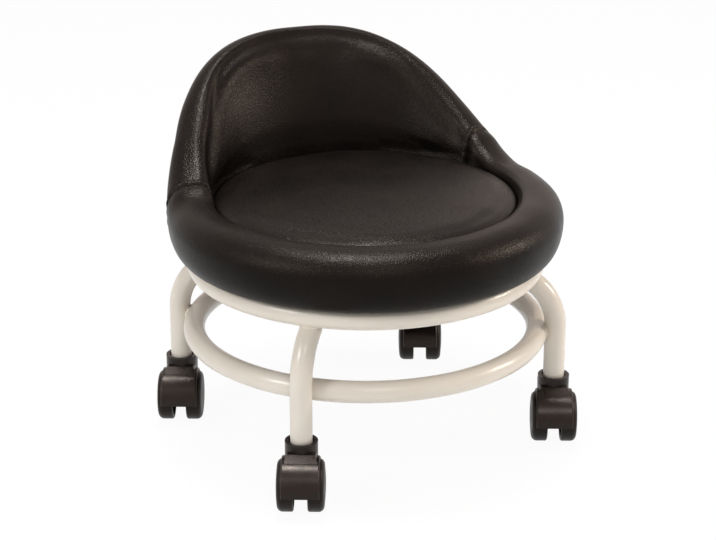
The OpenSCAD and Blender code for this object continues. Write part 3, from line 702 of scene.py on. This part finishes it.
# %% Make the cushion's cover
mesh = bmesh.new()
grid = []
for i in range(TURNS):
    a = 2 * math.pi * i / TURNS
    row = []
    for r, z in outline:
        x, y = r * math.cos(a), r * math.sin(a)
        pucker = 0.06 * math.sin(29 * a + 1.7 * math.sin(3 * a)) * hump(r, CUSHION_R - 5.5, 6.0)
        lift = (cushion_wave(x, y, z) + pucker) * clamp((z - 212) / 6)
        row.append(mesh.verts.new((x * MM, y * MM, (z + lift) * MM)))
    grid.append(row)
top_z = CUSHION_TOP_EDGE + 4
centre = mesh.verts.new((0, 0, (top_z + cushion_wave(0, 0, top_z)) * MM))
for i in range(TURNS):
    j = (i + 1) % TURNS
    for k in range(len(outline) - 1):
        mesh.faces.new((grid[i][k], grid[j][k], grid[j][k + 1], grid[i][k + 1])).smooth = True
    mesh.faces.new((grid[i][-1], grid[j][-1], centre)).smooth = True
mesh.faces.new([grid[i][0] for i in range(TURNS)][::-1])
cushion = mesh_object(mesh, "seat_cushion_leather_cover")
dress(cushion, leather)
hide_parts("seat_cushion")
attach(cushion, "frame_and_seat")
print("cushion faces:", len(cushion.data.polygons))

# %% [markdown]
# ## Let the foam fill the covers
#
# A real cover is cut a little small and pulled over foam, which pushes back from inside. That gives
# full, slightly uneven forms and soft puckers where the leather is held. The waves could be painted in,
# but cloth simulation finds them by itself. A coarse copy of each cover is blown up from inside, held
# at its seams and foot. The fine cover keeps its crisp seams and takes over only how far the copy moved.

# %% Blow up a coarse copy
VOXEL, FRAMES, SMOOTHING = 5 * MM, 20, 24


def coarse_copy(obj):
    """A lighter copy of a cover in even faces, 1.5 mm smaller."""
    bpy.ops.object.select_all(action="DESELECT")
    coarse = bpy.data.objects.new("coarse_copy", obj.data.copy())
    bpy.context.scene.collection.objects.link(coarse)
    bpy.context.view_layer.objects.active = coarse
    coarse.select_set(True)
    remesh = coarse.modifiers.new("voxels", "REMESH")
    remesh.mode = "VOXEL"
    remesh.voxel_size = VOXEL
    bpy.ops.object.modifier_apply(modifier="voxels")
    shrink = coarse.modifiers.new("smaller", "DISPLACE")
    shrink.strength = -1.5 * MM
    shrink.mid_level = 0
    bpy.ops.object.modifier_apply(modifier="smaller")
    return coarse


def inflate(coarse):
    """Press the copy out from inside as a cloth, and return the points of its last frame."""
    cloth = coarse.modifiers.new("foam", "CLOTH")
    cloth.settings.quality = 6
    cloth.settings.mass = 0.3
    cloth.settings.tension_stiffness = cloth.settings.compression_stiffness = 12
    cloth.settings.shear_stiffness = 6
    cloth.settings.bending_stiffness = 0.3
    cloth.settings.use_pressure = True
    cloth.settings.uniform_pressure_force = 4.0
    cloth.settings.vertex_group_mass = "held"
    cloth.settings.effector_weights.gravity = 0
    cloth.collision_settings.use_collision = False
    cloth.point_cache.frame_start, cloth.point_cache.frame_end = 1, FRAMES
    for step in range(1, FRAMES + 1):
        bpy.context.scene.frame_set(step)
    blown = coarse.evaluated_get(bpy.context.evaluated_depsgraph_get()).to_mesh()
    return [v.co.copy() for v in blown.vertices]


def foam_swell(obj, held):
    """Inflate a coarse copy. Returns its points and how far each moved outward, smoothed, in metres."""
    coarse = coarse_copy(obj)
    start = [v.co.copy() for v in coarse.data.vertices]
    normals = [v.normal.copy() for v in coarse.data.vertices]
    group = coarse.vertex_groups.new(name="held")
    group.add([i for i, co in enumerate(start) if held(co)], 1.0, "REPLACE")
    moved = np.array([(blown - co).dot(n) for blown, co, n in zip(inflate(coarse), start, normals)])
    ends = np.array([edge.vertices[:] for edge in coarse.data.edges])
    count = np.bincount(ends.ravel(), minlength=len(moved))
    for _ in range(SMOOTHING):
        total = np.bincount(ends[:, 0], moved[ends[:, 1]], len(moved))
        total = total + np.bincount(ends[:, 1], moved[ends[:, 0]], len(moved))
        moved = (moved + total / count) / 2
    bpy.context.scene.frame_set(1)
    bpy.data.objects.remove(coarse)
    return start, moved


print("cloth frames:", FRAMES)

# %% Let the fine covers follow
REACH, CAP = 14 * MM, 1.5 * MM


def take_over(obj, start, moved, fade):
    """Move each point of the fine cover as the coarse copy moved there, less the even part of the swell."""
    tree = kdtree.KDTree(len(start))
    for i, co in enumerate(start):
        tree.insert(co, i)
    tree.balance()
    even = sorted(moved)[len(moved) // 2]
    normals = [v.normal.copy() for v in obj.data.vertices]
    for v, normal in zip(obj.data.vertices, normals):
        near = tree.find_range(v.co, REACH)
        weights = [(1 - gap / (REACH + 0.01 * MM)) ** 2 for _, _, gap in near]
        total = sum(w * moved[i] for w, (_, i, _) in zip(weights, near))
        swell = total / max(sum(weights), 1e-6) - even
        v.co += normal * CAP * math.tanh(swell / CAP) * fade(v.co)
    obj.data.update()
    return even


def from_seam(co):
    """Distance in mm along the wall from the nearer seam."""
    turn = math.degrees(math.atan2(-co.x, co.y))
    return min(abs(turn - LEFT_SEAM), abs(turn - RIGHT_SEAM)) * math.radians(1) * SEWN_R


def wall_fade(co):
    """Nothing moves at the seams, at the foot, under the board or where the wall hides behind the cushion."""
    foot = ease((co.z / MM - FRAME_TOP) / 14)
    on_show = math.hypot(co.x, co.y) > (WALL_R + 3) * MM or co.z / MM > CUSHION_EDGE_Z + 8
    return ease((from_seam(co) - 5) / 14) * foot * on_show


def cushion_fade(co):
    """Nothing moves below the cushion's edge."""
    return ease((co.z / MM - CUSHION_EDGE_Z) / 6)


def wall_held(co):
    """The wall is sewn at the seams and stapled to the board."""
    return from_seam(co) < 4 or co.z / MM < BOARD_TOP


def cushion_held(co):
    """The cushion is fixed at its foot."""
    return co.z / MM < BOARD_TOP + 8


for cover, fade, held in ((backrest, wall_fade, wall_held), (roll, wall_fade, wall_held),
                          (cushion, cushion_fade, cushion_held)):
    start, moved = foam_swell(cover, held)
    even = take_over(cover, start, moved, fade)
    print(cover.name, "coarse points", len(start), "even swell", round(even / MM, 2), "mm")

# %% [markdown]
# ## The row of stitches
#
# Behind the seam, on the backrest's side, a row of stitches holds the folded edge down. They could be a
# painted line, but real thread lies in small slanting bars with dark holes between, and catches light.
# Each stitch is a short bar of thread, 3.5 mm long and 0.7 mm thick, whose ends dip into the leather.

# %% Model one stitch
def bend_end(obj, side, half, bend_r, degrees):
    """Bend one end: spin its face round a point above the bar, or below it for a negative bend."""
    mesh = bmesh.from_edit_mesh(obj.data)
    for face in mesh.faces:
        face.select_set(face.normal.x * side > 0.9)
    bmesh.update_edit_mesh(obj.data)
    angle = math.radians(degrees) * side * (1 if bend_r > 0 else -1)
    bpy.ops.mesh.spin(steps=3, angle=angle, center=(side * half, 0, bend_r), axis=(0, 1, 0))


def bent_bar(name, wire_r, length, bend_r, degrees):
    """A round bar along X, straight over this length, with two bent ends."""
    bpy.ops.object.select_all(action="DESELECT")
    bpy.ops.mesh.primitive_cylinder_add(vertices=8, radius=wire_r, depth=length, rotation=(0, math.pi / 2, 0))
    bar = bpy.context.object
    bar.name = name
    bpy.ops.object.transform_apply(location=True, rotation=True, scale=True)
    bpy.ops.object.mode_set(mode="EDIT")
    bpy.ops.mesh.select_mode(type="FACE")
    bend_end(bar, 1, length / 2, bend_r, degrees)
    bend_end(bar, -1, length / 2, bend_r, degrees)
    bpy.ops.mesh.select_all(action="SELECT")
    bpy.ops.mesh.normals_make_consistent(inside=False)
    bpy.ops.object.mode_set(mode="OBJECT")
    bpy.ops.object.shade_smooth()
    return bar


one_stitch = bent_bar("one_stitch", 0.35 * MM, 1.6 * MM, -0.9 * MM, 50)
print("stitch size in mm:", [round(v / MM, 2) for v in one_stitch.dimensions])

# %% Sew the row
def lay_copies(name, model, places):
    """Join copies of one small piece, each with its own mesh at its own place, and remove the model."""
    bpy.ops.object.select_all(action="DESELECT")
    for place in places:
        copy = model.copy()
        copy.data = model.data.copy()
        copy.data.transform(place)
        bpy.context.scene.collection.objects.link(copy)
        copy.select_set(True)
        bpy.context.view_layer.objects.active = copy
    bpy.ops.object.join()
    bpy.data.objects.remove(model)
    joined = bpy.context.object
    joined.name = joined.data.name = name
    return joined


STITCH_PITCH, STITCH_SPAN, STITCH_LIFT = 4.6 * MM, 3.4 * MM, 0.12 * MM


def stitch_places(row):
    """Where the stitches of one row lie: X along the row, Z out of the leather."""
    points = [Vector(p) for p in row]
    along = np.concatenate([[0], np.cumsum([(b - a).length for a, b in zip(points, points[1:])])])

    def at(distance):
        """The point at a distance along the row."""
        return Vector([np.interp(distance, along, [p[axis] for p in points]) for axis in range(3)])

    places = []
    for start in np.arange(STITCH_PITCH, along[-1] - STITCH_SPAN, STITCH_PITCH):
        first, middle, last = at(start), at(start + STITCH_SPAN / 2), at(start + STITCH_SPAN)
        run = (last - first).normalized()
        up = run.cross(Vector((-middle.y, middle.x, 0))).normalized()
        turned = Matrix((run, up.cross(run), up)).transposed().to_4x4()
        places.append(Matrix.Translation(middle + up * STITCH_LIFT) @ turned)
    return places


places = [place for row in back_stitches for place in stitch_places(row)]
stitches = lay_copies("seam_stitches", one_stitch, places)
dress(stitches, thread)
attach(stitches, "frame_and_seat")
print("stitches:", len(places), "on", len(back_stitches), "rows")

# %% [markdown]
# ## Weld beads
#
# The rings are welded to the legs by hand. A hand weld is a string of small overlapping scales laid
# round the joint, and powder coat softens them. The bead could be a plain fillet, but the scales are
# what a welded joint is known by. Each bead follows the true line where the two tubes meet.

# %% Find where the tubes meet
RING_Z, LOWER_Z = 161.5, 97.5
UPPER_R, LOWER_R, LEG_R, TUBE_R = 150.0, 154.5, 171.0, 9.5
BEND_R, END_IN, END_UNDER = 50.0, 6.0, 13.0
FRAME_TURN, HALF_PAIR = 9.5, 50.3
LEG_TURNS = [270 + FRAME_TURN - HALF_PAIR, 270 + FRAME_TURN + HALF_PAIR,
             90 + FRAME_TURN - HALF_PAIR, 90 + FRAME_TURN + HALF_PAIR]
BEND_CENTRE = LEG_R - BEND_R
SWEEP = math.acos((UPPER_R - END_IN - BEND_CENTRE) / BEND_R)
BEND_Z = RING_Z - END_UNDER - BEND_R * math.sin(SWEEP)


def off_ring(p, ring_r, ring_z):
    """Distance from a point to a ring's tube, in mm."""
    return math.hypot(math.hypot(p[0], p[1]) - ring_r, p[2] - ring_z) - TUBE_R


def off_leg(p):
    """Distance from a point to a leg's tube, for the leg that lies in the XZ plane."""
    if p[2] < BEND_Z:
        return math.hypot(p[0] - LEG_R, p[1]) - TUBE_R
    reach = math.hypot(p[0] - BEND_CENTRE, p[2] - BEND_Z)
    return math.hypot(reach - BEND_R, p[1]) - TUBE_R


def meeting_line(centre, u, v, n, ring_r, ring_z, steps=72, first=0.0, last=360.0):
    """Points where the two tubes meet, found step by step outward from a centre, along u and v."""
    line = []
    for k in range(steps + 1):
        a = math.radians(mix(first, last, k / steps))
        along = np.cos(a) * u + np.sin(a) * v
        spread, depth = 6.0, 0.0
        for _ in range(40):
            p = centre + spread * along + depth * n
            f = np.array([off_ring(p, ring_r, ring_z), off_leg(p)])
            jac = []
            for step in (along * 0.01, n * 0.01):
                q = p + step
                jac.append((np.array([off_ring(q, ring_r, ring_z), off_leg(q)]) - f) / 0.01)
            jac = np.array(jac).T + 1e-9 * np.eye(2)
            spread, depth = np.array([spread, depth]) - 0.7 * np.linalg.solve(jac, f)
        line.append(centre + spread * along + depth * n)
    return line


across = np.array([0.0, 1.0, 0.0])
lower_line = meeting_line(np.array([(LOWER_R + LEG_R) / 2, 0, LOWER_Z]), across, np.array([0, 0, 1.0]),
                          np.array([1.0, 0, 0]), LOWER_R, LOWER_Z)
print("points round a leg at the lower ring:", len(lower_line))

# %% Shape one bead
ROUND = 10
SCALE_LONG, BEAD_STEP = 2.1, 0.35


def bead(mesh, line, closed, bead_r):
    """One rippled bead along a line, in mm, as a tube of scales."""
    points = [Vector(p) for p in line]
    fine = []
    for a, b in zip(points, points[1:]):
        steps = max(1, round((b - a).length / BEAD_STEP))
        fine += [a.lerp(b, i / steps) for i in range(steps)]
    if not closed:
        fine.append(points[-1])
    n, at, rings = len(fine), 0.0, []
    for i, p in enumerate(fine):
        ahead = fine[(i + 1) % n] if closed else fine[min(i + 1, n - 1)]
        behind = fine[i - 1] if closed else fine[max(i - 1, 0)]
        run = (ahead - behind).normalized()
        side = run.orthogonal().normalized() if i == 0 else (side - run * side.dot(run)).normalized()
        up = run.cross(side)
        saw = (at / SCALE_LONG) % 1.0
        size = bead_r * (0.88 + 0.16 * saw + 0.05 * noise.noise(p / 3.0))
        if not closed:
            size *= min(1.0, 0.35 + 0.65 * min(i, n - 1 - i) / 6)
        rings.append([mesh.verts.new((p + size * (math.cos(t) * side + math.sin(t) * up)) * MM)
                      for t in [math.tau * k / ROUND for k in range(ROUND)]])
        at += (ahead - p).length
    pairs = list(zip(rings, rings[1:])) + ([(rings[-1], rings[0])] if closed else [])
    for first, second in pairs:
        turn = 0
        if first is rings[-1]:
            turn = min(range(ROUND), key=lambda t: (first[0].co - second[t].co).length)
        for k in range(ROUND):
            m = (k + 1) % ROUND
            face = (first[k], first[m], second[(m + turn) % ROUND], second[(k + turn) % ROUND])
            mesh.faces.new(face).smooth = True
    if not closed:
        mesh.faces.new(rings[0][::-1])
        mesh.faces.new(rings[-1])


def beads_object(name, lines, closed, bead_r):
    """The same bead on all four legs, as one piece."""
    mesh = bmesh.new()
    for line in lines:
        bead(mesh, line, closed, bead_r)
    quarter = list(mesh.verts) + list(mesh.edges) + list(mesh.faces)
    turned = [bmesh.ops.duplicate(mesh, geom=quarter)["geom"] for _ in LEG_TURNS[1:]]
    for geom, angle in zip([quarter] + turned, LEG_TURNS):
        corners = [g for g in geom if isinstance(g, bmesh.types.BMVert)]
        bmesh.ops.rotate(mesh, verts=corners, cent=(0, 0, 0),
                         matrix=Matrix.Rotation(math.radians(angle), 3, "Z"))
    obj = mesh_object(mesh, name)
    dress(obj, powder_coat)
    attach(obj, "frame_and_seat")
    return obj


print("bead sides:", ROUND)

# %% Lay the weld beads
lower_beads = beads_object("lower_ring_weld_beads", [lower_line], True, 1.7)
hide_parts("ring_welds")

# At the top, the line starts and ends where the leg's end meets the ring. A short bead closes it.
leg_end = np.array([UPPER_R - END_IN, 0, RING_Z - END_UNDER])
out_of_end = np.array([-math.sin(SWEEP), 0, math.cos(SWEEP)])
to_ring = np.array([END_IN, 0, END_UNDER]) / math.hypot(END_IN, END_UNDER)
back_along = np.cross(across, to_ring)
if back_along @ out_of_end > 0:
    back_along = -back_along
seat_point = leg_end + to_ring * (math.hypot(END_IN, END_UNDER) / 2)
top_line = meeting_line(seat_point, across, back_along, to_ring, UPPER_R, RING_Z, 48, 0.0, 180.0)
beads_object("upper_ring_weld_beads", [top_line, [top_line[-1], top_line[0]]], False, 1.6)
print("bead loops:", len(lower_line), "points below and", len(top_line), "above")

# %% [markdown]
# ## Staples under the seat
#
# The dust cover is stapled through its edge into the board. Seen from below, a row of wire crowns runs
# round it. Each could be a box, but wire is round and bends into its legs, so each staple is a short
# bent tube, and no two point in quite the same direction.

# %% Drive the staples
STAPLES, STAPLE_RING_R = 40, 142.6
one_staple = bent_bar("one_staple", 0.4 * MM, 7.6 * MM, 0.6 * MM, 90)
places = []
for i in range(STAPLES):
    a = math.tau * (i + 0.5) / STAPLES
    turned = Matrix.Rotation(a + math.pi / 2 + 0.16 * math.sin(7.3 * i), 4, "Z")
    centre = Vector((STAPLE_RING_R * math.cos(a), STAPLE_RING_R * math.sin(a), FRAME_TOP - 0.3)) * MM
    places.append(Matrix.Translation(centre) @ turned)
staples = lay_copies("dust_cover_staples", one_staple, places)
dress(staples, zinc)
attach(staples, "frame_and_seat")
print("staples:", STAPLES)
